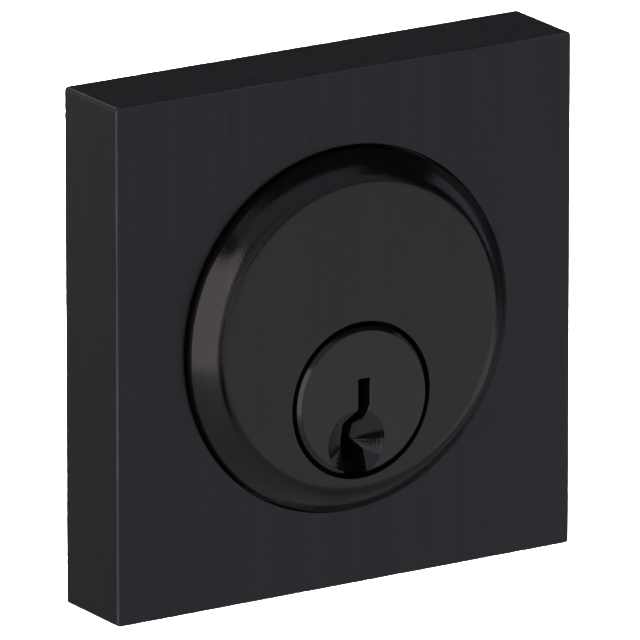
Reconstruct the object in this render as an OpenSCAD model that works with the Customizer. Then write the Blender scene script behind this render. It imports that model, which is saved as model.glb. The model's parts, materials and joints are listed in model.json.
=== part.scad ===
// Keyed outside half of a deadbolt door lock with a square rose.
//
// Frame: the origin is at the middle of the rose, on the door's outside
// surface. The outside looks towards -Y, +X is to the right seen from outside
// and +Z is up. The cylinder runs into the door along +Y.
// Heights named rel_ are measured from the plug's axis, which lies plug_drop
// below the middle of the rose.

/* [Rose] */
// Width and height of the square rose
rose_w = 50.8; // [47:0.1:62]
// How far the rose stands out from the door
rose_depth = 9.1; // [8:0.1:11]
// Thickness of the rose's front wall
rose_front_t = 3; // [2.6:0.1:3.8]
// Thickness of the rose's four side walls
rose_wall_t = 2.2; // [1.4:0.1:2.6]
// Radius of the rose's four upright corners
rose_corner_r = 0.4; // [0.2:0.1:2]
// Radius of the rose's front edges
rose_edge_r = 0.25; // [0.15:0.05:0.8]

/* [Cylinder head] */
// Diameter of the round head
head_d = 35.5; // [34:0.1:42.6]
// How far the head stands out from the rose
head_proud = 2.8; // [2:0.1:4]
// Height of the head's straight wall above the rose
head_wall_h = 0.7; // [0.5:0.05:1.4]
// Width of the bevel round the head's flat face, seen from the front
head_bevel_w = 2.3; // [1.2:0.05:2.6]
// Radius where the straight wall turns into the bevel
head_shoulder_r = 0.6; // [0.2:0.05:0.8]
// Radius where the bevel turns into the flat face
head_face_r = 1.3; // [0.3:0.05:1.8]
// Depth of the recess in the rose that the head sits in
head_seat_depth = 1.2; // [0.8:0.1:1.4]

/* [Cylinder body] */
// Diameter of the cylinder's body behind the rose
body_d = 29.2; // [28.6:0.1:35.1]
// Distance from the last pin to the body's rear face
body_tail = 5; // [4:0.1:6]

/* [Plug] */
// Diameter of the plug in its bore
plug_d = 12.7; // [10.5:0.1:12.9]
// Distance of the plug's axis below the middle of the rose
plug_drop = 6.33; // [6.1:0.01:6.5]
// How far the plug's front flange reaches past its body
flange_lip = 0.9; // [0.6:0.05:1]
// Thickness of the plug's front flange
flange_t = 1.9; // [1.6:0.1:2.4]
// How far the plug's face stands out from the head's face
flange_proud = 0.4; // [0.2:0.05:0.8]
// Chamfer round the plug's face
flange_chamfer = 0.35; // [0.05:0.05:0.4]
// Radius of the key guide, the cone-shaped hollow in the plug's face
guide_r = 3.1; // [2.6:0.05:3.2]
// Depth of the key guide
guide_depth = 1.3; // [0.8:0.05:1.5]

/* [Keyway] */
// Width of the upper slot, which takes the key's blade
slot_w = 1.3; // [1.1:0.05:1.5]
// Height of the keyway's top above the plug's axis
slot_top = 2.2; // [2.1:0.05:2.5]
// Width of the keyway's lower part, which takes the key's back
heel_w = 2.5; // [2.2:0.05:2.7]

/* [Pins] */
// Diameter of the pins
pin_d = 2.9; // [2.5:0.05:3.2]
// Distance from pin to pin
pin_pitch = 3.97; // [3.7:0.01:4.8]
// Distance from the plug's face to the first pin
first_pin_back = 5.9; // [5.7:0.1:7]
// Length of the driver pins
driver_l = 5; // [4:0.1:6]
// Wire diameter of the pin springs
spring_wire_d = 0.36; // [0.3:0.02:0.42]
// Length of the small plugs that close the pin chambers
chamber_plug_l = 2; // [1.5:0.1:2.4]

/* [Tailpiece] */
// Width of the tailpiece's blade
blade_w = 5.2; // [4.4:0.1:5.3]
// Thickness of the tailpiece's blade
blade_t = 1.6; // [1.2:0.1:2]
// Distance from the door's outside surface to the blade's tip
blade_reach = 36; // [30:0.5:44]
// Thickness of the tailpiece's hub
hub_t = 1.2; // [1:0.1:1.6]

/* [Door fixing] */
// Diameter of the cross bore in the door
door_bore_d = 41.3; // [39:0.1:44]
// How far the centring ring reaches into the door
ring_reach = 6; // [4:0.5:8]
// Distance between the two tapped holes for the through-bolts
tap_spacing = 20.4; // [19.5:0.1:21.5]
// Diameter of the tapped holes
tap_d = 4.2; // [3.4:0.1:4.4]
// Depth of the tapped holes
tap_depth = 12; // [8:0.5:14]

/* [Hidden] */
$fn = 96;

// Clearances
seat_gap = 0.15;      // head in the rose's recess, all round
body_gap = 0.25;      // body in the rose's hole, all round
plug_gap = 0.05;      // plug in its bore, on the radius
flange_gap = 0.43;    // round the plug's front flange
pin_gap = 0.05;       // pins in their chambers, on the radius
end_play = 0.05;      // plug along its bore, at each end
shear_gap = 0.03;     // driver pins above the plug
hub_gap = 0.3;        // tailpiece hub in the plug cap, on the radius
blade_gap = 0.35;     // blade in the cap's hole
door_gap = 0.2;       // centring ring in the door's bore, on the radius
spring_gap = 0.02;    // at each end of a spring
over = 1;             // how far a cut runs past the surface it opens

// Levels along Y, from the front to the back
rose_face_y = -rose_depth;
head_face_y = rose_face_y - head_proud;
plug_face_y = head_face_y - flange_proud;
flange_back_y = plug_face_y + flange_t;
seat_y = rose_face_y + head_seat_depth;
rose_back_y = rose_face_y + rose_front_t;
first_pin_y = plug_face_y + first_pin_back;
pin_count = 5;
rear_y = first_pin_y + (pin_count - 1) * pin_pitch + body_tail;

// Radii
rose_hollow_r = 2;
head_r = head_d / 2;
body_r = body_d / 2;
plug_r = plug_d / 2;
flange_r = plug_r + flange_lip;
bore_r = plug_r + plug_gap;
counterbore_r = flange_r + flange_gap;
pin_r = pin_d / 2;
chamber_r = pin_r + pin_gap;

// Locating pin between the rose and the head, under the plug, sized to the
// head's step
locating_r = (head_r - body_r) * 2 / 7;
locating_depth = 1.6;
locating_z = -(head_r + body_r) / 2 - seat_gap / 2;

// Retaining ring in its groove on the body, behind the rose's front wall
ring_t = 1;
groove_depth = 0.7;
ring_lip = 1.8;
ring_opening = 32;
ring_back_y = rose_back_y + ring_t;

// Centring ring round the body, in the door's bore
centring_r = door_bore_d / 2 - door_gap;
centring_relief = 0.45;
centring_web_t = 1.8;
centring_wall_t = 1.6;
centring_sleeve_l = 7;
centring_sleeve_share = 1 / 3; // of the room between the body and the ring
centring_ribs = 6;
rib_t = 1.4;
rib_drop = 1;
rib_root = 0.3;

// Pin stacks: the height of the key's cut under each pin, measured from the
// plug's axis, and the chamber floor that a pin drops to with no key
rel_cuts = [1.45, 0.55, 1.9, 0.85, 1.6];
rel_floor = -0.7;
pin_tip_r = 0.55;
pin_tip_l = 0.9;
pin_top_r = 0.8;
pin_top_l = 0.2;
pin_top_sink = 0.07;
driver_edge = 0.15;
rel_pin_top = plug_r - pin_top_sink;
rel_driver_foot = plug_r + shear_gap;
driver_top_z = -plug_drop + rel_driver_foot + driver_l;
chamber_plug_sink = 0.2;
chamber_plug_foot_z = body_r - chamber_plug_sink - chamber_plug_l;
spring_turns = 7;
spring_steps = 12;
spring_sides = 6;
spring_side_gap = 0.1;
spring_mid_r = pin_r - spring_side_gap - spring_wire_d / 2;

// Keyway outline, measured from the plug's axis
slot_x = 0.08;
slot_left = slot_x - slot_w / 2;
slot_right = slot_x + slot_w / 2;
heel_right = 0.38;
heel_left = heel_right - heel_w;
ward_x = -0.92;
step_x = 0.13;
rel_slot_foot_left = -0.8;
rel_slot_foot_right = -0.4;
rel_step = -1.8;
rel_heel_top = -2;
rel_ward_top = -2.2;
rel_ward_foot = -3.6;
rel_heel_corner = -4.9;
keyway_outline = [
    [slot_left, slot_top], [slot_left, rel_slot_foot_left], [heel_left, rel_heel_top],
    [heel_left, -flange_r - over], [heel_right, -flange_r - over], [heel_right, rel_heel_corner],
    [ward_x, rel_ward_foot], [ward_x, rel_ward_top], [step_x, rel_step],
    [slot_right, rel_slot_foot_right], [slot_right, slot_top]
];

// Middle of the key guide
guide_x = -0.78;
guide_rel_z = -4;

// Hardened pins beside the keyway, ahead of the first pin
guard_r = 0.75;
guard_x = 3.4;
guard_back = 3.7;
guard_foot = -3.5;
guard_sink = 0.1;

// Plug nose, cap and cap pin
nose_step = 1.75;
nose_r = plug_r - nose_step;
nose_l = 3.1;
shoulder_y = rear_y + end_play;
nose_y = shoulder_y + nose_l;
cap_lip = 0.85;
cap_r = plug_r + cap_lip;
cap_end_t = 1;
cap_edge_r = 0.4;
cap_wall_y = nose_y + end_play + hub_t + end_play;
cap_rear_y = cap_wall_y + cap_end_t;
cap_notch_depth = 0.9;
cap_notches = 12;
cap_pin_r = 0.55;
cap_pin_l = 3;
cap_pin_gap = 0.05;
cap_pin_out = 0.6;
cap_pin_angle = 0;
cap_spring_l = 2.4;
cap_spring_turns = 5;
cap_spring_wire_d = 0.2;
cap_pin_foot_y = shoulder_y + cap_pin_out - cap_pin_l;

// Lost motion between the plug and the tailpiece: the plug's two lugs leave the
// hub's two wings a quarter turn
lug_w = 30;
wing_play = 1;
free_turn = 90;
wing_w = 180 - lug_w - free_turn - 2 * wing_play;
blade_corner_r = norm([blade_w, blade_t]) / 2;
hub_core_rim = 0.08;   // hub's core past the blade's corners
hub_core_r = blade_corner_r + hub_core_rim;
hub_r = nose_r - hub_gap;
lug_in_r = hub_core_r + hub_gap;
lug_inset = 0.1;
lug_out_r = nose_r - lug_inset;
lug_root = 0.5;
lug_h = hub_t - end_play;
blade_hole_r = blade_corner_r + blade_gap;
hub_y = nose_y + end_play;
score_depth = 0.5;
score_pitch = 4;
score_count = 3;
blade_tip_chamfer = 0.6;

// Tapped holes in the body's rear face
tap_z = 2;

black = [0.13, 0.13, 0.14];
brass = [0.72, 0.56, 0.27];
steel = [0.62, 0.63, 0.65];
zinc = [0.5, 0.51, 0.53];

// ---- shapes used by several sub-parts ----

// A straight round bar along Y
module bar_y(r, from, to)
    translate([0, from, 0]) rotate([-90, 0, 0]) cylinder(r = r, h = to - from);

// An outline in X and Z, run along Y
module run_y(from, to)
    translate([0, to, 0]) rotate([90, 0, 0]) linear_extrude(height = to - from) children();

// An outline of radius and Y, turned about the Y axis
module turn_y()
    rotate([-90, 0, 0]) rotate_extrude() children();

// Moves a shape down to the plug's axis
module on_plug_axis()
    translate([0, 0, -plug_drop]) children();

function pin_y(n) = first_pin_y + (n - 1) * pin_pitch;

function heading(from, to) = (to - from) / norm(to - from);
function half_angle(a, p, b) = acos(heading(p, a) * heading(p, b)) / 2;
function arc_centre(a, p, b, r) =
    p + heading([0, 0], heading(p, a) + heading(p, b)) * r / sin(half_angle(a, p, b));
function arc_ends(a, p, b, r) =
    r == 0 ? [p] : let(back = r / tan(half_angle(a, p, b)))
    [p + heading(p, a) * back, p + heading(p, b) * back];

// An outline whose outward corners are rounded by true arcs, each with its own radius
module soft_outline(points, radii) {
    last = len(points) - 1;
    function before(i) = points[i == 0 ? last : i - 1];
    function after(i) = points[i == last ? 0 : i + 1];
    polygon([for (i = [0:last]) each arc_ends(before(i), points[i], after(i), radii[i])]);
    for (i = [0:last])
        if (radii[i] > 0)
            translate(arc_centre(before(i), points[i], after(i), radii[i])) circle(r = radii[i]);
}

module soft_square(w, r)
    soft_outline([[-w, -w] / 2, [w, -w] / 2, [w, w] / 2, [-w, w] / 2], [r, r, r, r]);

// A slice of a disc, centred on the direction a
module slice(r, a, w)
    intersection() {
        circle(r = r);
        polygon([
            [0, 0],
            2 * r * [cos(a - w / 2), sin(a - w / 2)],
            2 * r * [cos(a + w / 2), sin(a + w / 2)]
        ]);
    }

// A coil spring standing on the XY plane
module coil_spring(mid_r, wire_r, l, turns) {
    rings = turns * spring_steps;
    rise = l - 2 * wire_r;
    points = [
        for (i = [0:rings], j = [0:spring_sides - 1])
            let(a = 360 * i / spring_steps, b = 360 * j / spring_sides, r = mid_r + wire_r * cos(b))
            [r * cos(a), r * sin(a), wire_r + rise * i / rings + wire_r * sin(b)]
    ];
    function at(i, j) = i * spring_sides + j % spring_sides;
    walls = [
        for (i = [0:rings - 1], j = [0:spring_sides - 1])
            each [[at(i, j), at(i, j + 1), at(i + 1, j)], [at(i, j + 1), at(i + 1, j + 1), at(i + 1, j)]]
    ];
    foot = [for (j = [spring_sides - 1:-1:0]) at(0, j)];
    top = [for (j = [0:spring_sides - 1]) at(rings, j)];
    polyhedron(points = points, faces = concat([foot], walls, [top]));
}

// ---- rose and what holds it ----

module rose_block() {
    half = rose_w / 2;
    front_edges = [rose_edge_r, rose_edge_r, 0, 0];
    intersection() {
        run_y(rose_face_y, 0) soft_square(rose_w, rose_corner_r);
        linear_extrude(height = rose_w, center = true)
            soft_outline([[-half, rose_face_y], [half, rose_face_y], [half, 0], [-half, 0]], front_edges);
        rotate([90, 0, 90]) linear_extrude(height = rose_w, center = true)
            soft_outline([[rose_face_y, half], [rose_face_y, -half], [0, -half], [0, half]], front_edges);
    }
}

module rose()
    color(black) difference() {
        rose_block();
        run_y(rose_back_y, over) soft_square(rose_w - 2 * rose_wall_t, rose_hollow_r);
        bar_y(head_r + seat_gap, rose_face_y - over, seat_y);
        bar_y(body_r + body_gap, rose_face_y - over, rose_back_y + over);
        translate([0, 0, locating_z]) bar_y(locating_r, seat_y - over, rose_back_y + over);
    }

module locating_pin()
    color(steel) translate([0, 0, locating_z]) bar_y(locating_r, seat_y - locating_depth, rose_back_y);

module retaining_ring()
    color(steel) run_y(rose_back_y, ring_back_y) difference() {
        circle(r = body_r + ring_lip);
        circle(r = body_r - groove_depth);
        slice(body_r + ring_lip + over, 90, ring_opening);
    }

module centring_ring()
    color(zinc) {
        relief_r = centring_r - centring_relief;
        inner_r = centring_r - centring_wall_t;
        web_y = ring_back_y + centring_web_t;
        sleeve_r = body_r + (inner_r - body_r) * centring_sleeve_share;
        rib_h = centring_sleeve_l - centring_web_t - rib_drop;
        turn_y() polygon([
            [body_r, ring_back_y], [relief_r, ring_back_y], [relief_r, 0], [centring_r, 0],
            [centring_r, ring_reach], [inner_r, ring_reach], [inner_r, web_y], [sleeve_r, web_y],
            [sleeve_r, ring_back_y + centring_sleeve_l], [body_r, ring_back_y + centring_sleeve_l]
        ]);
        for (i = [1:centring_ribs])
            rotate([0, i * 360 / centring_ribs, 0])
                translate([sleeve_r - rib_root, web_y - rib_root, -rib_t / 2])
                    cube([inner_r - sleeve_r + 2 * rib_root, rib_h + rib_root, rib_t]);
    }

// ---- cylinder shell ----

module shell_profile()
    soft_outline(
        [
            [0, head_face_y], [head_r - head_bevel_w, head_face_y],
            [head_r, rose_face_y - head_wall_h], [head_r, seat_y], [body_r, seat_y], [body_r, rear_y],
            [0, rear_y]
        ],
        [0, head_face_r, head_shoulder_r, 0, 0, 0, 0]
    );

module cylinder_shell()
    color(black) difference() {
        turn_y() shell_profile();
        turn_y() translate([body_r - groove_depth, rose_back_y]) square([groove_depth + over, ring_t]);
        on_plug_axis() {
            bar_y(bore_r, head_face_y - over, rear_y + over);
            bar_y(counterbore_r, head_face_y - over, flange_back_y + end_play);
        }
        for (n = [1:pin_count])
            translate([0, pin_y(n), -plug_drop]) cylinder(r = chamber_r, h = plug_drop + body_r + over);
        for (side = [-1, 1])
            translate([side * tap_spacing / 2, 0, tap_z]) bar_y(tap_d / 2, rear_y - tap_depth, rear_y + over);
        translate([0, 0, locating_z]) bar_y(locating_r, seat_y - locating_depth, seat_y + over);
    }

// ---- plug and what it carries ----

module plug_profile()
    polygon([
        [0, plug_face_y], [flange_r - flange_chamfer, plug_face_y],
        [flange_r, plug_face_y + flange_chamfer], [flange_r, flange_back_y],
        [plug_r, flange_back_y], [plug_r, shoulder_y], [nose_r, shoulder_y], [nose_r, nose_y],
        [0, nose_y]
    ]);

module plug_lugs()
    run_y(nose_y - lug_root, nose_y + lug_h) difference() {
        for (a = [0, 180])
            slice(lug_out_r, a, lug_w);
        circle(r = lug_in_r);
    }

module plug()
    color(black) on_plug_axis() difference() {
        union() {
            turn_y() plug_profile();
            plug_lugs();
        }
        run_y(plug_face_y - over, nose_y + over) polygon(keyway_outline);
        translate([guide_x, plug_face_y, guide_rel_z]) turn_y()
            polygon([[0, -over], [guide_r, -over], [guide_r, 0], [0, guide_depth]]);
        for (n = [1:pin_count])
            translate([0, pin_y(n), rel_floor]) cylinder(r = chamber_r, h = plug_r - rel_floor + over);
        for (side = [-1, 1])
            translate([side * guard_x, plug_face_y + guard_back, guard_foot])
                cylinder(r = guard_r, h = 2 * plug_r);
        cap_pin_place() bar_y(cap_pin_r + cap_pin_gap, cap_pin_foot_y - cap_spring_l, shoulder_y + over);
    }

module guard_pins()
    color(steel) on_plug_axis() for (side = [-1, 1])
        translate([side * guard_x, plug_face_y + guard_back, guard_foot])
            cylinder(r = guard_r, h = sqrt(plug_r * plug_r - pow(guard_x + guard_r, 2)) - guard_sink - guard_foot);

// Carries a shape to the cap pin's line, midway up the plug's shoulder
module cap_pin_place()
    translate([(nose_r + plug_r) / 2 * cos(cap_pin_angle), 0, (nose_r + plug_r) / 2 * sin(cap_pin_angle)])
        children();

module plug_cap()
    color(brass) on_plug_axis() difference() {
        turn_y() soft_outline(
            [[0, shoulder_y], [cap_r, shoulder_y], [cap_r, cap_rear_y], [0, cap_rear_y]],
            [0, 0, cap_edge_r, 0]
        );
        bar_y(nose_r, shoulder_y - over, cap_wall_y);
        bar_y(blade_hole_r, cap_wall_y - over, cap_rear_y + over);
        for (i = [1:cap_notches])
            rotate([0, i * 360 / cap_notches, 0]) cap_pin_place()
                bar_y(cap_pin_r + cap_pin_gap, shoulder_y - over, shoulder_y + cap_notch_depth);
    }

module cap_pin()
    color(steel) on_plug_axis() cap_pin_place()
        bar_y(cap_pin_r, cap_pin_foot_y, shoulder_y + cap_pin_out);

module cap_pin_spring()
    color(steel) on_plug_axis() cap_pin_place()
        translate([0, cap_pin_foot_y - cap_spring_l + spring_gap, 0]) rotate([-90, 0, 0])
            coil_spring(
                cap_pin_r - cap_spring_wire_d / 2, cap_spring_wire_d / 2, cap_spring_l - 2 * spring_gap,
                cap_spring_turns
            );

// ---- tailpiece ----

module tailpiece_hub()
    run_y(hub_y, hub_y + hub_t) {
        circle(r = hub_core_r);
        for (a = [135, 315])
            slice(hub_r, a, wing_w);
    }

module blade_outline()
    difference() {
        polygon([
            [-blade_w / 2, hub_y], [blade_w / 2, hub_y], [blade_w / 2, blade_reach - blade_tip_chamfer],
            [blade_w / 2 - blade_tip_chamfer, blade_reach], [blade_tip_chamfer - blade_w / 2, blade_reach],
            [-blade_w / 2, blade_reach - blade_tip_chamfer]
        ]);
        for (i = [1:score_count], side = [-1, 1])
            translate([side * blade_w / 2, blade_reach - i * score_pitch])
                rotate(45) square(score_depth, center = true);
    }

module tailpiece()
    color(steel) on_plug_axis() {
        tailpiece_hub();
        rotate([0, 90, 0]) linear_extrude(height = blade_t, center = true) blade_outline();
    }

// ---- pin stacks ----

module key_pin(n) {
    l = rel_pin_top - rel_cuts[n - 1];
    color(brass) translate([0, pin_y(n), -plug_drop + rel_cuts[n - 1]]) rotate_extrude() polygon([
        [0, 0], [pin_tip_r, 0], [pin_r, pin_tip_l], [pin_r, l - pin_top_l], [pin_top_r, l], [0, l]
    ]);
}

module driver_pin(n)
    color(steel) translate([0, pin_y(n), driver_top_z - driver_l]) rotate_extrude() polygon([
        [0, 0], [pin_r, 0], [pin_r, driver_l - driver_edge], [pin_r - driver_edge, driver_l], [0, driver_l]
    ]);

module pin_spring(n)
    color(steel) translate([0, pin_y(n), driver_top_z + spring_gap]) coil_spring(
        spring_mid_r, spring_wire_d / 2,
        chamber_plug_foot_z - driver_top_z - 2 * spring_gap, spring_turns
    );

module chamber_plug(n)
    color(brass) translate([0, pin_y(n), chamber_plug_foot_z]) cylinder(r = chamber_r, h = chamber_plug_l);

rose();
locating_pin();
retaining_ring();
centring_ring();
cylinder_shell();
plug();
guard_pins();
plug_cap();
cap_pin();
cap_pin_spring();
tailpiece();
key_pin(1);  // key_pin_1
key_pin(2);  // key_pin_2
key_pin(3);  // key_pin_3
key_pin(4);  // key_pin_4
key_pin(5);  // key_pin_5
driver_pin(1);  // driver_pin_1
driver_pin(2);  // driver_pin_2
driver_pin(3);  // driver_pin_3
driver_pin(4);  // driver_pin_4
driver_pin(5);  // driver_pin_5
pin_spring(1);  // pin_spring_1
pin_spring(2);  // pin_spring_2
pin_spring(3);  // pin_spring_3
pin_spring(4);  // pin_spring_4
pin_spring(5);  // pin_spring_5
chamber_plug(1);  // chamber_plug_1
chamber_plug(2);  // chamber_plug_2
chamber_plug(3);  // chamber_plug_3
chamber_plug(4);  // chamber_plug_4
chamber_plug(5);  // chamber_plug_5
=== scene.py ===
"""Looks for the keyed outside half of a deadbolt lock: square rose, cylinder, plug and tailpiece."""

import json
import math

import bmesh
import bpy
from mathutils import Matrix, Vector


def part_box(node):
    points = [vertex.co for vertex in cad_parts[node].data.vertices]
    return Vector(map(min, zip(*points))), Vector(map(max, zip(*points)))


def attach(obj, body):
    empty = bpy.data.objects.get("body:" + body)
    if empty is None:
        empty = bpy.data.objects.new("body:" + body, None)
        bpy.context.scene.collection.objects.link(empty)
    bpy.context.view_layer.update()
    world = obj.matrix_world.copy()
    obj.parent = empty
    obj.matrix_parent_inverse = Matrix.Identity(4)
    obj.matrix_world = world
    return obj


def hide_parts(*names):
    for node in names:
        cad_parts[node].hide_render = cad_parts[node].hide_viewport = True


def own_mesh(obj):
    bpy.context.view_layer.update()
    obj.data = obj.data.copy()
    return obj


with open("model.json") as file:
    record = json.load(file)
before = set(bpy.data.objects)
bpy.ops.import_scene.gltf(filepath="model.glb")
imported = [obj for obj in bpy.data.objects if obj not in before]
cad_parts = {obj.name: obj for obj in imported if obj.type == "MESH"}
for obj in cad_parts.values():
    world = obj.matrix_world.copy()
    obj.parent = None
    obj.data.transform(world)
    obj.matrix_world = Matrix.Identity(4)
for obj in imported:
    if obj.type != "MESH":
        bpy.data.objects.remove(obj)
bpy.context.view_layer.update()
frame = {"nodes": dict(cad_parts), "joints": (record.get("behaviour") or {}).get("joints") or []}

MM = 0.001

# ---- levels and radii, in millimetres: from the frame where it has them, else as in part.scad ----


def box_mm(node):
    low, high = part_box(node)
    return Vector(low) / MM, Vector(high) / MM


def joint(name):
    return [j for j in frame["joints"] if j["name"] == name][0]


ROSE_LOW, ROSE_HIGH = box_mm("rose")
SHELL_LOW, SHELL_HIGH = box_mm("cylinder_shell")
PLUG_LOW, PLUG_HIGH = box_mm("plug")
CLIP_LOW, CLIP_HIGH = box_mm("retaining_ring")
PLUG_AXIS = joint("plug_turn")["pos_m"][2] / MM

ROSE_HALF = ROSE_HIGH.x
ROSE_FACE = ROSE_LOW.y
ROSE_BACK = CLIP_LOW.y
ROSE_WALL = 2.2
ROSE_CORNER = 0.4
ROSE_EDGE = 0.25
HOLLOW_CORNER = 2.0
HOLLOW_FLOOR_SOFT = 0.5
SEAT_FLARE = 0.12
HEAD_R = SHELL_HIGH.x
HEAD_FACE = SHELL_LOW.y
HEAD_WALL = 0.7
HEAD_BEVEL = 2.3
BEVEL_CROWN = 0.1
FACE_ROUNDING, CROWN_ROUNDING, WALL_ROUNDING = 2.2, 5, 0.6
SEAT = ROSE_FACE + 1.2
SEAT_GAP = 0.15
BODY_R = 14.6
BODY_GAP = 0.25
BODY_REAR = SHELL_HIGH.y
GROOVE_DEPTH = 0.7
LOCATING_R = 0.9
LOCATING_Z = box_mm("locating_pin")[0].z + LOCATING_R
LOCATING_FRONT = box_mm("locating_pin")[0].y
PLUG_FACE = PLUG_LOW.y
PLUG_R = 6.35
PLUG_GAP = 0.05
FLANGE_R = PLUG_R + 0.9
FLANGE_BACK = PLUG_FACE + 1.9
FLANGE_CHAMFER = 0.35
COUNTERBORE_R = FLANGE_R + 0.43
NOSE_R = PLUG_R - 1.75
NOSE_END = PLUG_HIGH.y - 1.15
SHOULDER = box_mm("plug_cap")[0].y
CHAMBER_R = 1.5
CHAMBER_FLOOR = -0.7
PINS = range(1, 6)
PIN_YS = [(box_mm("key_pin_%d" % n)[0].y + box_mm("key_pin_%d" % n)[1].y) / 2 for n in PINS]
FIRST_CHAMBER = PIN_YS[0] - CHAMBER_R - 0.05
TAP_X, TAP_Z, TAP_R, TAP_DEPTH = 10.2, 2.0, 2.1, 12.0
THREAD_DEPTH, THREAD_PITCH = 0.35, 0.8
LUG_INNER, LUG_OUTER, LUG_ANGLE = 3.1, NOSE_R - 0.1, 30
KEYWAY_FLARE = 0.04

# How far a cutter reaches past the surface that it opens
OVER = 1

# Sides of a round cutter, by its size
COARSE, MEDIUM, FINE, FINEST = 32, 64, 128, 192

# Corners of a square, in order
SQUARE = [(-1, -1), (1, -1), (1, 1), (-1, 1)]

# Keyway on the plug's face, measured from the plug's axis, with the radius of each corner
KEYWAY = [
    ((-0.57, 2.2), 0.05), ((-0.57, -0.8), 0.3), ((-2.12, -2.0), 0.5), ((-2.12, -8.6), 0),
    ((0.38, -8.6), 0), ((0.38, -4.9), 0.3), ((-0.92, -3.6), 0.2), ((-0.92, -2.2), 0.1),
    ((0.13, -1.8), 0.15), ((0.73, -0.4), 0.4), ((0.73, 2.2), 0.05),
]
GUIDE_X, GUIDE_Z, GUIDE_R, GUIDE_DEPTH = -0.78, -4.0, 3.1, 1.3

# ---- mesh helpers, in millimetres ----


def rounded(points, radii, steps=8, closed=False):
    """The outline with each corner of a radius above 0 turned into an arc."""
    out = []
    count = len(points)
    for i, (point, radius) in enumerate(zip(points, radii)):
        p = Vector(point)
        if radius <= 0 or (not closed and i in (0, count - 1)):
            out.append(tuple(p))
            continue
        before = (Vector(points[i - 1]) - p).normalized()
        after = (Vector(points[(i + 1) % count]) - p).normalized()
        half = before.angle(after) / 2
        centre = p + (before + after).normalized() * radius / math.sin(half)
        start = p + before * radius / math.tan(half) - centre
        turn = (p + after * radius / math.tan(half) - centre).angle_signed(start)
        for k in range(steps + 1):
            a = turn * k / steps
            c, s = math.cos(a), math.sin(a)
            out.append((centre.x + start.x * c - start.y * s, centre.y + start.x * s + start.y * c))
    return out


def make(name, points, faces):
    """A new mesh object from points in millimetres, its faces turned outwards."""
    mesh = bpy.data.meshes.new(name)
    mesh.from_pydata([tuple(Vector(p) * MM) for p in points], [], faces)
    obj = bpy.data.objects.new(name, mesh)
    bpy.context.collection.objects.link(obj)
    edit = bmesh.new()
    edit.from_mesh(mesh)
    bmesh.ops.remove_doubles(edit, verts=edit.verts, dist=1e-8)
    bmesh.ops.recalc_face_normals(edit, faces=edit.faces)
    edit.to_mesh(mesh)
    edit.free()
    return obj


def revolve(name, profile, centre=(0, 0), segments=256, ring=False):
    """A profile of (radius, y) turned about Y through centre (x, z). A ring's profile is closed."""
    rows = len(profile)
    points = []
    for radius, y in profile:
        for k in range(segments):
            a = 2 * math.pi * k / segments
            points.append((centre[0] + radius * math.cos(a), y, centre[1] + radius * math.sin(a)))
    faces = []
    for i in range(rows if ring else rows - 1):
        j = (i + 1) % rows
        for k in range(segments):
            m = (k + 1) % segments
            faces.append((i * segments + k, i * segments + m, j * segments + m, j * segments + k))
    if not ring:
        faces.append(tuple(range(segments)))
        faces.append(tuple((rows - 1) * segments + k for k in range(segments)))
    return make(name, points, faces)


def prism(name, loops):
    """A solid through loops of equal length, each a list of 3-D points."""
    size = len(loops[0])
    points = [p for loop in loops for p in loop]
    faces = []
    for i in range(len(loops) - 1):
        for k in range(size):
            m = (k + 1) % size
            faces.append((i * size + k, i * size + m, (i + 1) * size + m, (i + 1) * size + k))
    faces.append(tuple(range(size)))
    faces.append(tuple((len(loops) - 1) * size + k for k in range(size)))
    return make(name, points, faces)


def upright(name, x, y, low, high, radius, segments=MEDIUM):
    """A round bar along Z."""
    turns = [2 * math.pi * k / segments for k in range(segments)]
    loops = [[(x + radius * math.cos(a), y + radius * math.sin(a), z) for a in turns] for z in (low, high)]
    return prism(name, loops)


def grown(outline, by):
    """An outline moved outwards by a small distance, corner by corner."""
    out = []
    area = sum(a[0] * b[1] - b[0] * a[1] for a, b in zip(outline, outline[1:] + outline[:1]))
    side = 1 if area > 0 else -1
    for i, p in enumerate(outline):
        before = (Vector(p) - Vector(outline[i - 1])).normalized()
        after = (Vector(outline[(i + 1) % len(outline)]) - Vector(p)).normalized()
        normals = [Vector((d.y, -d.x)) * side for d in (before, after)]
        middle = (normals[0] + normals[1]).normalized()
        out.append(tuple(Vector(p) + middle * by / max(0.4, middle.dot(normals[0]))))
    return out


def bake(obj):
    """Applies the object's modifiers."""
    depsgraph = bpy.context.evaluated_depsgraph_get()
    mesh = bpy.data.meshes.new_from_object(obj.evaluated_get(depsgraph))
    obj.modifiers.clear()
    obj.data = mesh


def combine(obj, operation, tools):
    """Cuts or joins the tools one by one, and removes them."""
    for tool in tools:
        modifier = obj.modifiers.new("tool", "BOOLEAN")
        modifier.operation = operation
        modifier.solver = "EXACT"
        modifier.object = tool
        bake(obj)
        bpy.data.objects.remove(tool)


def cut(obj, *tools):
    combine(obj, "DIFFERENCE", tools)


def add(obj, *tools):
    combine(obj, "UNION", tools)


def smooth(obj, angle=32):
    """Smooth shading with sharp edges where faces meet at more than the angle."""
    edit = bmesh.new()
    edit.from_mesh(obj.data)
    bmesh.ops.remove_doubles(edit, verts=edit.verts, dist=2e-7)
    bmesh.ops.dissolve_degenerate(edit, edges=edit.edges, dist=2e-7)
    edit.to_mesh(obj.data)
    edit.free()
    obj.data.shade_smooth()
    obj.data.set_sharp_from_angle(angle=math.radians(angle))
    weights = obj.modifiers.new("even normals", "WEIGHTED_NORMAL")
    weights.keep_sharp = True
    weights.weight = 100


def paint(obj, materials, choose=None):
    """Gives the object its materials, and each face the one that choose picks, or the first."""
    obj.data.materials.clear()
    for material in materials:
        obj.data.materials.append(material)
    for face in obj.data.polygons:
        picked = choose(face.center / MM, face.normal) if choose else materials[0]
        face.material_index = materials.index(picked)


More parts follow.
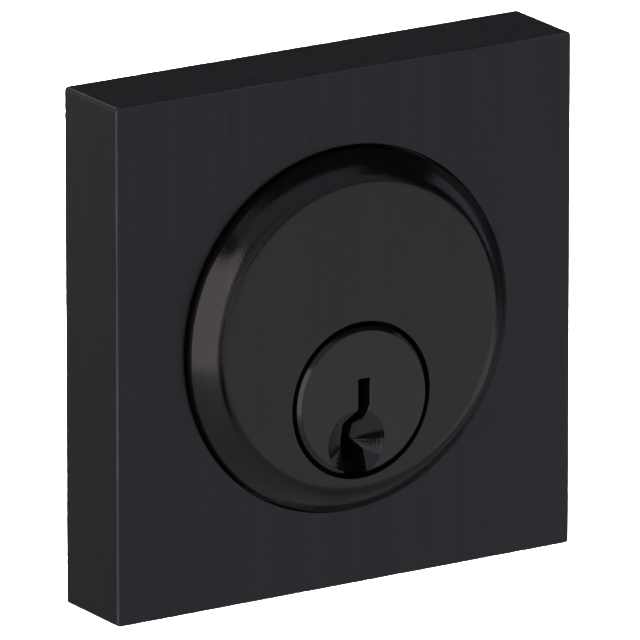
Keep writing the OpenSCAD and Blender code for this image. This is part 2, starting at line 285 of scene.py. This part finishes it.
def seat_piece(obj, body, slot, *nodes):
    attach(obj, body)
    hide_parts(*nodes)


def copy_of(node, name):
    """A copy of a CAD node's mesh, welded, to be worked further."""
    obj = bpy.data.objects.new(name, frame["nodes"][node].data.copy())
    bpy.context.collection.objects.link(obj)
    edit = bmesh.new()
    edit.from_mesh(obj.data)
    bmesh.ops.remove_doubles(edit, verts=edit.verts, dist=1e-6)
    bmesh.ops.dissolve_limit(edit, angle_limit=math.radians(0.4), verts=edit.verts, edges=edit.edges)
    edit.to_mesh(obj.data)
    edit.free()
    return obj


def soften_edges(obj, width):
    """Rounds the edges where faces meet at more than 35 degrees."""
    bevel = obj.modifiers.new("edges", "BEVEL")
    bevel.width = width * MM
    bevel.segments = 3
    bevel.limit_method = "ANGLE"
    bevel.angle_limit = math.radians(35)
    bevel.use_clamp_overlap = True
    bake(obj)


# ---- materials ----

# Texture scales along x, y and z: marks run in the direction whose scale is small
ALONG_Z = (1, 1, 0.012)
ALONG_Y = (1, 0.012, 1)
EVEN = (1, 1, 1)
ROUND_Y = (0.03, 1, 0.03)
ROUND_Z = (0.03, 0.03, 1)

# The black coating's darker and lighter patches
COATING = ((0.002, 0.0019, 0.0023), (0.0045, 0.0042, 0.005))

# Depth of brushing, pitting and turning marks, in millimetres
MARK_DEPTH = 0.02


def node_tree(name):
    material = bpy.data.materials.new(name)
    material.use_nodes = True
    tree = material.node_tree
    return material, tree, tree.nodes["Principled BSDF"]


def texture(tree, kind, scale, stretch=EVEN, **inputs):
    """A texture node on object coordinates in metres."""
    place = tree.nodes.new("ShaderNodeTexCoord")
    mapping = tree.nodes.new("ShaderNodeMapping")
    mapping.inputs["Scale"].default_value = stretch
    node = tree.nodes.new(kind)
    node.inputs["Scale"].default_value = scale
    for key, value in inputs.items():
        node.inputs[key.replace("_", " ")].default_value = value
    tree.links.new(place.outputs["Object"], mapping.inputs["Vector"])
    tree.links.new(mapping.outputs["Vector"], node.inputs["Vector"])
    return node


def spread(tree, source, low, high, start=0.3, end=0.7):
    """A texture's values moved from start..end to low..high."""
    node = tree.nodes.new("ShaderNodeMapRange")
    node.inputs["From Min"].default_value = start
    node.inputs["From Max"].default_value = end
    node.inputs["To Min"].default_value = low
    node.inputs["To Max"].default_value = high
    tree.links.new(source, node.inputs["Value"])
    return node.outputs["Result"]


def blend_colours(tree, factor, first, second):
    node = tree.nodes.new("ShaderNodeMix")
    node.data_type = "RGBA"
    node.inputs["A"].default_value = (*first, 1)
    node.inputs["B"].default_value = (*second, 1)
    tree.links.new(factor, node.inputs["Factor"])
    return node.outputs["Result"]


def bump(tree, shader, layers):
    """Bump nodes in a row, each a (height, strength, distance in mm)."""
    previous = None
    for height, strength, distance in layers:
        node = tree.nodes.new("ShaderNodeBump")
        node.inputs["Strength"].default_value = strength
        node.inputs["Distance"].default_value = distance * MM
        tree.links.new(height, node.inputs["Height"])
        if previous:
            tree.links.new(previous, node.inputs["Normal"])
        previous = node.outputs["Normal"]
    tree.links.new(previous, shader.inputs["Normal"])


def black_finish(name, roughness, specular, tint, brushing, mottle, turned=0, wear_and_highlight=1):
    """Black coating on metal, and the black of the painted shade in recesses. brushing, mottle and turned set
    how strong each kind of mark is, and wear_and_highlight above 1 lightens the coating: a lighter coat on
    the back, a painted highlight on the rose's rim."""
    material, tree, shader = node_tree(name)
    fine = texture(tree, "ShaderNodeTexNoise", 5200, ALONG_Z, Detail=3, Roughness=0.6)
    broad = texture(tree, "ShaderNodeTexNoise", 900, ALONG_Z, Detail=4, Roughness=0.65)
    cloud = texture(tree, "ShaderNodeTexNoise", 140, EVEN, Detail=5, Roughness=0.6)
    pits = texture(tree, "ShaderNodeTexNoise", 3200, EVEN, Detail=4, Roughness=0.55)
    shader.inputs["Specular IOR Level"].default_value = specular
    shader.inputs["Specular Tint"].default_value = (*tint, 1)
    dark, light = ([value * wear_and_highlight for value in colour] for colour in COATING)
    patches = spread(tree, cloud.outputs[0], 0, 1)
    tree.links.new(blend_colours(tree, patches, dark, light), shader.inputs["Base Color"])
    swing = 0.035 * brushing
    streaks = spread(tree, broad.outputs[0], -swing, swing, 0.35, 0.65)
    handling = spread(tree, cloud.outputs[0], roughness - 0.01, roughness + 0.02)
    total = tree.nodes.new("ShaderNodeMath")
    tree.links.new(streaks, total.inputs[0])
    tree.links.new(handling, total.inputs[1])
    tree.links.new(total.outputs[0], shader.inputs["Roughness"])
    layers = [(fine.outputs[0], 0.2 * brushing, MARK_DEPTH), (pits.outputs[0], mottle, MARK_DEPTH)]
    if turned:
        layers.append((turning_marks(tree), turned, MARK_DEPTH))
    bump(tree, shader, layers)
    return material


def turning_marks(tree):
    """Fine rings round the key guide's middle."""
    place = tree.nodes.new("ShaderNodeTexCoord")
    centre = tree.nodes.new("ShaderNodeMapping")
    centre.inputs["Location"].default_value = (-GUIDE_X * MM, 0, -(PLUG_AXIS + GUIDE_Z) * MM)
    rings = tree.nodes.new("ShaderNodeTexWave")
    rings.wave_type = "RINGS"
    rings.rings_direction = "Y"
    rings.inputs["Scale"].default_value = 900
    rings.inputs["Distortion"].default_value = 2
    rings.inputs["Detail"].default_value = 3
    tree.links.new(place.outputs["Object"], centre.inputs["Vector"])
    tree.links.new(centre.outputs["Vector"], rings.inputs["Vector"])
    return rings.outputs["Fac"]


def turned_metal(name, first, second, roughness, stretch):
    """Bare metal with tool marks, between two colours."""
    material, tree, shader = node_tree(name)
    marks = texture(tree, "ShaderNodeTexNoise", 2600, stretch, Detail=3, Roughness=0.55)
    cloud = texture(tree, "ShaderNodeTexNoise", 220, Detail=4, Roughness=0.6)
    shader.inputs["Metallic"].default_value = 1
    patches = spread(tree, cloud.outputs[0], 0, 1)
    tree.links.new(blend_colours(tree, patches, first, second), shader.inputs["Base Color"])
    uneven = spread(tree, marks.outputs[0], roughness - 0.06, roughness + 0.08)
    tree.links.new(uneven, shader.inputs["Roughness"])
    bump(tree, shader, [(marks.outputs[0], 0.22, MARK_DEPTH), (cloud.outputs[0], 0.1, 0.03)])
    return material


ROSE_BLACK = black_finish("rose_black", 0.33, 0.42, (0.94, 0.9, 1), 1, 0.12)
BACK_BLACK = black_finish("back_black", 0.55, 0.2, (0.98, 0.97, 1), 0.5, 0.3, wear_and_highlight=3)
# Coating twelve times lighter for the rose's rounded rim: a painted highlight along its edges
RIM_HIGHLIGHT_BLACK = black_finish("rim_highlight_black", 0.33, 0.42, (0.98, 0.97, 1), 1, 0.12, wear_and_highlight=12)
HEAD_BLACK = black_finish("head_black", 0.16, 0.4, (1, 0.96, 1), 0.9, 0.42)
PLUG_BLACK = black_finish("plug_black", 0.17, 0.46, (1, 0.97, 1), 0.7, 0.12)
GUIDE_BLACK = black_finish("guide_black", 0.1, 0.6, (1, 0.98, 1), 0, 0.05, 0.12)
# Black with almost no reflection for the bore, counterbore, keyway and chambers: painted shade, where bare
# brass lies in shade
SHADE_BLACK = black_finish("painted_shade_black", 0.5, 0.04, (1, 1, 1), 0.3, 0.3)
BRASS = turned_metal("turned_brass", (0.5, 0.34, 0.13), (0.62, 0.44, 0.19), 0.36, ROUND_Y)
PIN_BRASS = turned_metal("pin_brass", (0.66, 0.46, 0.18), (0.74, 0.54, 0.26), 0.22, ROUND_Z)
STEEL = turned_metal("bright_steel", (0.5, 0.5, 0.51), (0.62, 0.62, 0.64), 0.3, ALONG_Y)
PIN_STEEL = turned_metal("pin_steel", (0.52, 0.52, 0.54), (0.64, 0.64, 0.66), 0.2, ROUND_Z)
WIRE = turned_metal("spring_wire", (0.42, 0.43, 0.45), (0.55, 0.56, 0.58), 0.25, EVEN)
ZINC = turned_metal("cast_zinc", (0.26, 0.27, 0.28), (0.36, 0.37, 0.38), 0.52, EVEN)

# ---- rose ----


def rounded_square(half, radius):
    return rounded([(x * half, z * half) for x, z in SQUARE], [radius] * 4, closed=True)


def make_rose():
    """Square box, soft at its front edges and open behind, with a stepped round hole."""
    steps = 8
    loops = [[(x, 0, z) for x, z in rounded_square(ROSE_HALF, ROSE_CORNER)]]
    for k in range(steps + 1):
        a = math.pi / 2 * k / steps
        inset = ROSE_EDGE * (1 - math.cos(a))
        y = ROSE_FACE + ROSE_EDGE * (1 - math.sin(a))
        loops.append([(x, y, z) for x, z in rounded_square(ROSE_HALF - inset, ROSE_CORNER - inset)])
    rose = prism("rose_plate", loops)
    hollow_half = ROSE_HALF - ROSE_WALL
    hollow = rounded_square(hollow_half, HOLLOW_CORNER)
    floor = rounded_square(hollow_half - HOLLOW_FLOOR_SOFT, HOLLOW_CORNER - HOLLOW_FLOOR_SOFT)
    levels = [(ROSE_BACK, floor), (ROSE_BACK + HOLLOW_FLOOR_SOFT, hollow), (OVER, hollow)]
    hole_r = BODY_R + BODY_GAP
    cut(
        rose,
        prism("hollow", [[(x, y, z) for x, z in shape] for y, shape in levels]),
        revolve("seat", rim_profile(HEAD_R + SEAT_GAP, ROSE_FACE, SEAT, SEAT_FLARE)),
        revolve("hole", [(hole_r, ROSE_FACE - OVER), (hole_r, OVER)]),
        revolve("pin_hole", [(LOCATING_R, SEAT - OVER), (LOCATING_R, OVER)], (0, LOCATING_Z), MEDIUM),
    )
    smooth(rose)

    def finish(centre, normal):
        from_middle = max(abs(centre.x), abs(centre.z))
        in_hollow = centre.y > ROSE_BACK - 0.1 and from_middle < ROSE_HALF - ROSE_WALL + 0.05
        if in_hollow or centre.y > -0.01:
            return BACK_BLACK
        # The rounded rim takes the lighter coating, a painted highlight along the edges
        at_rim = from_middle > ROSE_HALF - ROSE_EDGE - 0.05
        return RIM_HIGHLIGHT_BLACK if at_rim and max(abs(v) for v in normal) < 0.99 else ROSE_BLACK

    paint(rose, [ROSE_BLACK, BACK_BLACK, RIM_HIGHLIGHT_BLACK], finish)
    seat_piece(rose, "cylinder", "black_finish", "rose")


def rim_profile(radius, mouth, floor, flare):
    """Profile of a round cutter whose mouth is rounded outwards by flare."""
    steps = 4
    profile = [(radius + flare * 2, mouth - OVER), (radius + flare * 2, mouth)]
    for k in range(steps + 1):
        a = math.pi / 2 * k / steps
        profile.append((radius + flare * (1 - math.sin(a)), mouth + flare * (1 - math.cos(a))))
    profile.append((radius, floor))
    return profile


# ---- cylinder shell ----


def threaded_bar(name, x, z, front, rear, core):
    """A screw-shaped cutter along Y, for a tapped hole."""
    per_turn = 8
    rows = int((rear - front) / THREAD_PITCH * per_turn)
    loops = []
    for i in range(rows + 1):
        y = front + (rear - front) * i / rows
        loop = []
        for k in range(COARSE):
            turn = (y / THREAD_PITCH + k / COARSE) % 1
            radius = core + THREAD_DEPTH * (1 - abs(2 * turn - 1))
            a = 2 * math.pi * k / COARSE
            loop.append((x + radius * math.cos(a), y, z + radius * math.sin(a)))
        loops.append(loop)
    return prism(name, loops)


def head_profile():
    """Flat face, slightly crowned bevel, short straight wall, seat and body."""
    face_r = HEAD_R - HEAD_BEVEL
    wall_y = ROSE_FACE - HEAD_WALL
    crown = ((face_r + HEAD_R) / 2 + BEVEL_CROWN, (HEAD_FACE + wall_y) / 2 - BEVEL_CROWN)
    corners = [
        (face_r - 3, HEAD_FACE), (face_r, HEAD_FACE), crown, (HEAD_R, wall_y), (HEAD_R, SEAT),
        (BODY_R, SEAT), (BODY_R, BODY_REAR), (BODY_R - 2, BODY_REAR),
    ]
    radii = [0, FACE_ROUNDING, CROWN_ROUNDING, WALL_ROUNDING, 0.1, 0, 0.3, 0]
    return rounded(corners, radii, 14)


def make_shell():
    shell = revolve("cylinder_head_and_body", head_profile())
    groove = [
        (BODY_R - GROOVE_DEPTH, CLIP_LOW.y), (BODY_R + OVER, CLIP_LOW.y),
        (BODY_R + OVER, CLIP_HIGH.y), (BODY_R - GROOVE_DEPTH, CLIP_HIGH.y),
    ]
    bore_r = PLUG_R + PLUG_GAP
    counterbore = rim_profile(COUNTERBORE_R, HEAD_FACE, FLANGE_BACK + 0.05, 0.05)
    pin_hole = [(LOCATING_R, LOCATING_FRONT), (LOCATING_R, SEAT + OVER)]
    cut(
        shell,
        revolve("groove", groove, ring=True),
        revolve("bore", [(bore_r, HEAD_FACE - OVER), (bore_r, BODY_REAR + OVER)], (0, PLUG_AXIS), FINE),
        revolve("counterbore", counterbore, (0, PLUG_AXIS), FINEST),
        revolve("pin_hole", pin_hole, (0, LOCATING_Z), MEDIUM),
        *[upright("chamber", 0, y, PLUG_AXIS, BODY_R + OVER, CHAMBER_R) for y in PIN_YS],
        *[
            threaded_bar("tap", side * TAP_X, TAP_Z, BODY_REAR - TAP_DEPTH, BODY_REAR + OVER, TAP_R)
            for side in (-1, 1)
        ],
    )
    smooth(shell)

    def finish(centre, normal):
        reach = math.hypot(centre.x, centre.z - PLUG_AXIS)
        if centre.y < HEAD_FACE + 0.01:
            return HEAD_BLACK
        if centre.y > BODY_REAR - 0.4:
            return BRASS
        # Inside the bore and the counterbore: painted shade
        if reach < PLUG_R + 0.1 or centre.y < FIRST_CHAMBER and reach < COUNTERBORE_R + 0.02:
            return SHADE_BLACK
        return HEAD_BLACK if centre.y < SEAT + 0.02 else BRASS

    paint(shell, [HEAD_BLACK, SHADE_BLACK, BRASS], finish)
    seat_piece(shell, "cylinder", "black_finish", "cylinder_shell")


# ---- plug ----


def keyway_tool():
    """The keyway run through the plug, with a small flare at the plug's face."""
    outline = rounded([p for p, r in KEYWAY], [r for p, r in KEYWAY], 5, closed=True)
    wide = grown(outline, KEYWAY_FLARE)
    stations = [
        (PLUG_FACE - OVER, wide), (PLUG_FACE, wide),
        (PLUG_FACE + KEYWAY_FLARE, outline), (NOSE_END + 2, outline),
    ]
    return prism("keyway", [[(x, y, PLUG_AXIS + z) for x, z in shape] for y, shape in stations])


def guide_tool():
    """The key guide: a shallow cone with a blunt tip and a small flare at its mouth."""
    slope = GUIDE_DEPTH / GUIDE_R
    profile = [
        (GUIDE_R + 0.5, PLUG_FACE - OVER), (GUIDE_R + 0.08, PLUG_FACE), (GUIDE_R, PLUG_FACE + 0.05),
        (0.3, PLUG_FACE + slope * (GUIDE_R - 0.3)), (0.12, PLUG_FACE + slope * (GUIDE_R - 0.2)),
    ]
    return revolve("guide", profile, (GUIDE_X, PLUG_AXIS + GUIDE_Z), FINEST)


def lug_tool(angle):
    """One of the two lugs on the plug's nose."""
    steps = 8
    width = math.radians(LUG_ANGLE)
    start = math.radians(angle) - width / 2
    turns = [start + width * k / steps for k in range(steps + 1)]
    shape = [(LUG_OUTER * math.cos(a), LUG_OUTER * math.sin(a)) for a in turns]
    shape += [(LUG_INNER * math.cos(a), LUG_INNER * math.sin(a)) for a in reversed(turns)]
    return prism("lug", [[(x, y, PLUG_AXIS + z) for x, z in shape] for y in (NOSE_END - 0.5, PLUG_HIGH.y)])


def make_plug():
    corners = [
        (FLANGE_R - 1, PLUG_FACE), (FLANGE_R - FLANGE_CHAMFER, PLUG_FACE),
        (FLANGE_R, PLUG_FACE + FLANGE_CHAMFER), (FLANGE_R, FLANGE_BACK), (PLUG_R, FLANGE_BACK),
        (PLUG_R, SHOULDER), (NOSE_R, SHOULDER), (NOSE_R, NOSE_END), (NOSE_R - 1, NOSE_END),
    ]
    radii = [0, 0.15, 0.1, 0.05, 0.1, 0.1, 0, 0.15, 0]
    plug = revolve("plug_barrel", rounded(corners, radii), (0, PLUG_AXIS))
    add(plug, lug_tool(0), lug_tool(180))
    guard_low, guard_high = box_mm("guard_pins")
    guard_r = (guard_high.y - guard_low.y) / 2
    guard_x, guard_y = guard_high.x - guard_r, guard_low.y + guard_r
    cap_low, cap_high = box_mm("cap_pin")
    cap_hole_r = (cap_high.x - cap_low.x) / 2 + 0.05
    cap_middle = (cap_low + cap_high) / 2
    cap_hole = [(cap_hole_r, box_mm("cap_pin_spring")[0].y), (cap_hole_r, SHOULDER + OVER)]
    chamber_floor = PLUG_AXIS + CHAMBER_FLOOR
    chamber_top = PLUG_AXIS + PLUG_R + OVER
    cut(
        plug,
        guide_tool(),
        keyway_tool(),
        *[upright("chamber", 0, y, chamber_floor, chamber_top, CHAMBER_R) for y in PIN_YS],
        *[
            upright("guard", side * guard_x, guard_y, guard_low.z, PLUG_AXIS + PLUG_R, guard_r, COARSE)
            for side in (-1, 1)
        ],
        revolve("cap_pin_hole", cap_hole, (cap_middle.x, cap_middle.z), 48),
    )
    smooth(plug)

    def finish(centre, normal):
        reach = math.hypot(centre.x, centre.z - PLUG_AXIS)
        from_guide = math.hypot(centre.x - GUIDE_X, centre.z - PLUG_AXIS - GUIDE_Z)
        if centre.y < PLUG_FACE + 0.04 or centre.y < FLANGE_BACK and reach > FLANGE_R - 0.3:
            return PLUG_BLACK
        if centre.y < PLUG_FACE + GUIDE_DEPTH + 0.05 and abs(normal.y) > 0.3 and from_guide < GUIDE_R:
            return GUIDE_BLACK
        outwards = normal.x * centre.x + normal.z * (centre.z - PLUG_AXIS) > 0.95 * reach
        # Keyway, chambers and holes inside the plug take painted shade; outward and rear faces are brass
        return BRASS if centre.y > SHOULDER - 0.1 or outwards and centre.y > FLANGE_BACK else SHADE_BLACK

    paint(plug, [PLUG_BLACK, SHADE_BLACK, BRASS, GUIDE_BLACK], finish)
    seat_piece(plug, "plug_barrel", "black_finish", "plug")


# ---- pieces behind the rose ----


def make_springs():
    """Smooth coils in place of the plain ones."""
    for n in PINS:
        low, high = box_mm("pin_spring_%d" % n)
        spring = coil("pin_coil_%d" % n, (low + high) / 2, high.z - low.z, (high.x - low.x) / 2, 0.18, 7, 2)
        seat_piece(spring, "cylinder", "spring_steel", "pin_spring_%d" % n)
        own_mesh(spring)
    low, high = box_mm("cap_pin_spring")
    spring = coil("cap_pin_coil", (low + high) / 2, high.y - low.y, (high.x - low.x) / 2, 0.1, 5, 1)
    seat_piece(spring, "plug_barrel", "spring_steel", "cap_pin_spring")
    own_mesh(spring)


def coil(name, middle, length, outer_r, wire_r, turns, axis):
    """A spring with closed end turns, along Z for axis 2 or along Y for axis 1."""
    per_turn, sides, closed = 28, 10, 0.8
    closed_pitch = 2.1 * wire_r
    wire_mid = outer_r - wire_r
    rise = length - 2 * wire_r - 2 * closed * closed_pitch
    pitch = rise / (turns - 2 * closed)
    loops = []
    for i in range(int(turns * per_turn) + 1):
        t = i / per_turn
        ends = min(t, closed) + max(0, t - (turns - closed))
        open_turns = max(0, min(t, turns - closed) - closed)
        along = wire_r + ends * closed_pitch + open_turns * pitch - length / 2
        a = 2 * math.pi * t
        loop = []
        for k in range(sides):
            b = 2 * math.pi * k / sides
            radius = wire_mid + wire_r * math.cos(b)
            offset = (radius * math.cos(a), radius * math.sin(a), along + wire_r * math.sin(b))
            if axis == 1:
                offset = (offset[0], offset[2], offset[1])
            loop.append(tuple(middle + Vector(offset)))
        loops.append(loop)
    spring = prism(name, loops)
    smooth(spring, 60)
    paint(spring, [WIRE])
    return spring


def worked_copies():
    """Pieces whose CAD shape is right, given soft edges."""
    for node, name, width, material, body, slot in (
        ("centring_ring", "centring_collar", 0.25, ZINC, "cylinder", "zinc"),
        ("plug_cap", "screw_cap", 0.12, BRASS, "plug_barrel", "brass"),
        ("tailpiece", "tailpiece_bar", 0.15, STEEL, "tail", "steel"),
        ("retaining_ring", "snap_ring", 0.1, WIRE, "cylinder", "spring_steel"),
    ):
        obj = copy_of(node, name)
        soften_edges(obj, width)
        smooth(obj)
        paint(obj, [material])
        seat_piece(obj, body, slot, node)


def paint_cad_nodes():
    """Plain turned pieces keep their CAD mesh and take a worked material."""
    shown = {"locating_pin": STEEL, "guard_pins": PIN_STEEL, "cap_pin": STEEL}
    for n in PINS:
        shown["key_pin_%d" % n] = PIN_BRASS
        shown["driver_pin_%d" % n] = PIN_STEEL
        shown["chamber_plug_%d" % n] = BRASS
    for node, material in shown.items():
        mesh = frame["nodes"][node].data
        mesh.materials.clear()
        mesh.materials.append(material)


# ---- camera, floor and light ----

PHOTO_AZIMUTH, PHOTO_ELEVATION = -32.3333, 16.4648
SENSOR, LENS = 36, 882.3

# The camera's place from the rose's middle, in widths of the rose: to the right, up and back
SHIFT_RIGHT, SHIFT_UP, DISTANCE = 0.04838, -0.02666, 29.328

SKY_STRENGTH = 0.03
FLOOR_HALF, FLOOR_HEIGHT = 6000, -250

WHITE = (1, 1, 1)
WARM = (1, 0.93, 0.88)
COOL = (0.98, 0.96, 1)
BLUE = (0.85, 0.9, 1)


def make_camera():
    """The photograph's view: a long lens, from the left and a little above."""
    azimuth, elevation = math.radians(PHOTO_AZIMUTH), math.radians(PHOTO_ELEVATION)
    back = Vector((
        math.sin(azimuth) * math.cos(elevation), -math.cos(azimuth) * math.cos(elevation), math.sin(elevation)
    ))
    right = (-back).cross(Vector((0, 0, 1))).normalized()
    up = right.cross(-back)
    width = 2 * ROSE_HALF * MM
    data = bpy.data.cameras.new("photo_camera")
    data.sensor_width = SENSOR
    data.lens = LENS
    camera = bpy.data.objects.new("photo_camera", data)
    bpy.context.collection.objects.link(camera)
    camera.location = width * (SHIFT_RIGHT * right + SHIFT_UP * up + DISTANCE * back)
    camera.rotation_mode = "QUATERNION"
    camera.rotation_quaternion = (-back).to_track_quat("-Z", "Y")
    bpy.context.scene.camera = camera


def softbox(name, place, width, height, power, colour, aim=(0, 0, 0)):
    """A lamp aimed at a point, in metres and watts. The finish mirrors it, and the camera doesn't see it."""
    data = bpy.data.lights.new(name, "AREA")
    data.shape = "RECTANGLE"
    data.size, data.size_y = width, height
    data.energy = power
    data.color = colour
    lamp = bpy.data.objects.new(name, data)
    bpy.context.collection.objects.link(lamp)
    lamp.location = place
    lamp.rotation_mode = "QUATERNION"
    lamp.rotation_quaternion = (Vector(aim) - Vector(place)).to_track_quat("-Z", "Y")
    lamp.visible_camera = False
    return lamp


def matte(name, shade, roughness, specular):
    """A plain grey for the stage."""
    material = bpy.data.materials.new(name)
    material.use_nodes = True
    shader = material.node_tree.nodes["Principled BSDF"]
    shader.inputs["Base Color"].default_value = (shade, shade, shade, 1)
    shader.inputs["Roughness"].default_value = roughness
    shader.inputs["Specular IOR Level"].default_value = specular
    return material


def flag(name, place, width, height):
    """A black studio card, turned to the object, for the key guide to mirror."""
    turn = (-Vector(place)).to_track_quat("Z", "Y")
    corners = [(x * width / 2, y * height / 2, 0) for x, y in SQUARE]
    card = make(name, [(Vector(place) + turn @ Vector(c)) / MM for c in corners], [(0, 1, 2, 3)])
    card.data.materials.append(matte(name + "_cloth", 0.002, 1, 0))


def make_stage():
    scene = bpy.context.scene
    scene.view_settings.view_transform = "Standard"
    scene.world = scene.world or bpy.data.worlds.new("studio")
    scene.world.use_nodes = True
    sky = scene.world.node_tree.nodes["Background"]
    sky.inputs["Color"].default_value = (*BLUE, 1)
    sky.inputs["Strength"].default_value = SKY_STRENGTH
    corners = [(x * FLOOR_HALF, y * FLOOR_HALF, FLOOR_HEIGHT) for x, y in SQUARE]
    floor = make("floor", corners, [(0, 1, 2, 3)])
    floor.data.materials.append(matte("pale_floor", 0.86, 0.9, 0.1))
    flag("black_flag", (-0.076, -0.372, -0.171), 0.14, 0.1)
    softbox("left_box", (-0.5, -0.36, 0.05), 0.55, 0.6, 2.15, WARM)
    softbox("left_front_card", (-0.3, -0.6, 0), 0.22, 0.5, 0.22, COOL)
    softbox("front_card", (0.23, -0.57, -0.135), 0.8, 0.22, 0.4, COOL, (0, 0, -0.1))
    softbox("middle_card", (0.15, -0.78, 0.22), 0.85, 0.42, 0.5, BLUE)
    softbox("low_right_card", (0.38, -0.25, -0.2), 0.3, 0.09, 0.06, COOL)
    softbox("upper_card", (-0.03, -0.594, 0.606), 1.1, 0.44, 0.74, BLUE)
    softbox("right_card", (0.95, -0.15, 0.14), 0.4, 0.5, 0.25, BLUE)
    softbox("back_left_card", (-0.6, 0.95, -0.03), 0.8, 0.44, 0.68, COOL)
    softbox("horizon_card", (0.75, 0.85, 0.32), 1.1, 0.4, 0.11, BLUE)
    softbox("guide_card", (-0.1, -0.58, 0.01), 0.3, 0.14, 0.06, BLUE)
    softbox("back_box", (-0.15, 0.75, 0.75), 0.8, 0.5, 1.4, COOL)
    softbox("under_card", (-0.1, -0.14, -0.24), 0.36, 0.34, 0.035, COOL, (-0.1, -0.139, 0))
    softbox("top_card", (0, 0.42, 0.85), 0.6, 0.3, 0.2, COOL)
    floor_light = softbox("floor_light", (0.45, 0.72, 0.14), 0.2, 0.2, 6, WHITE, (0.451, 0.72, -0.25))
    floor_light.data.spread = math.radians(70)


make_camera()
make_stage()
make_rose()
make_shell()
make_plug()
make_springs()
worked_copies()
paint_cad_nodes()
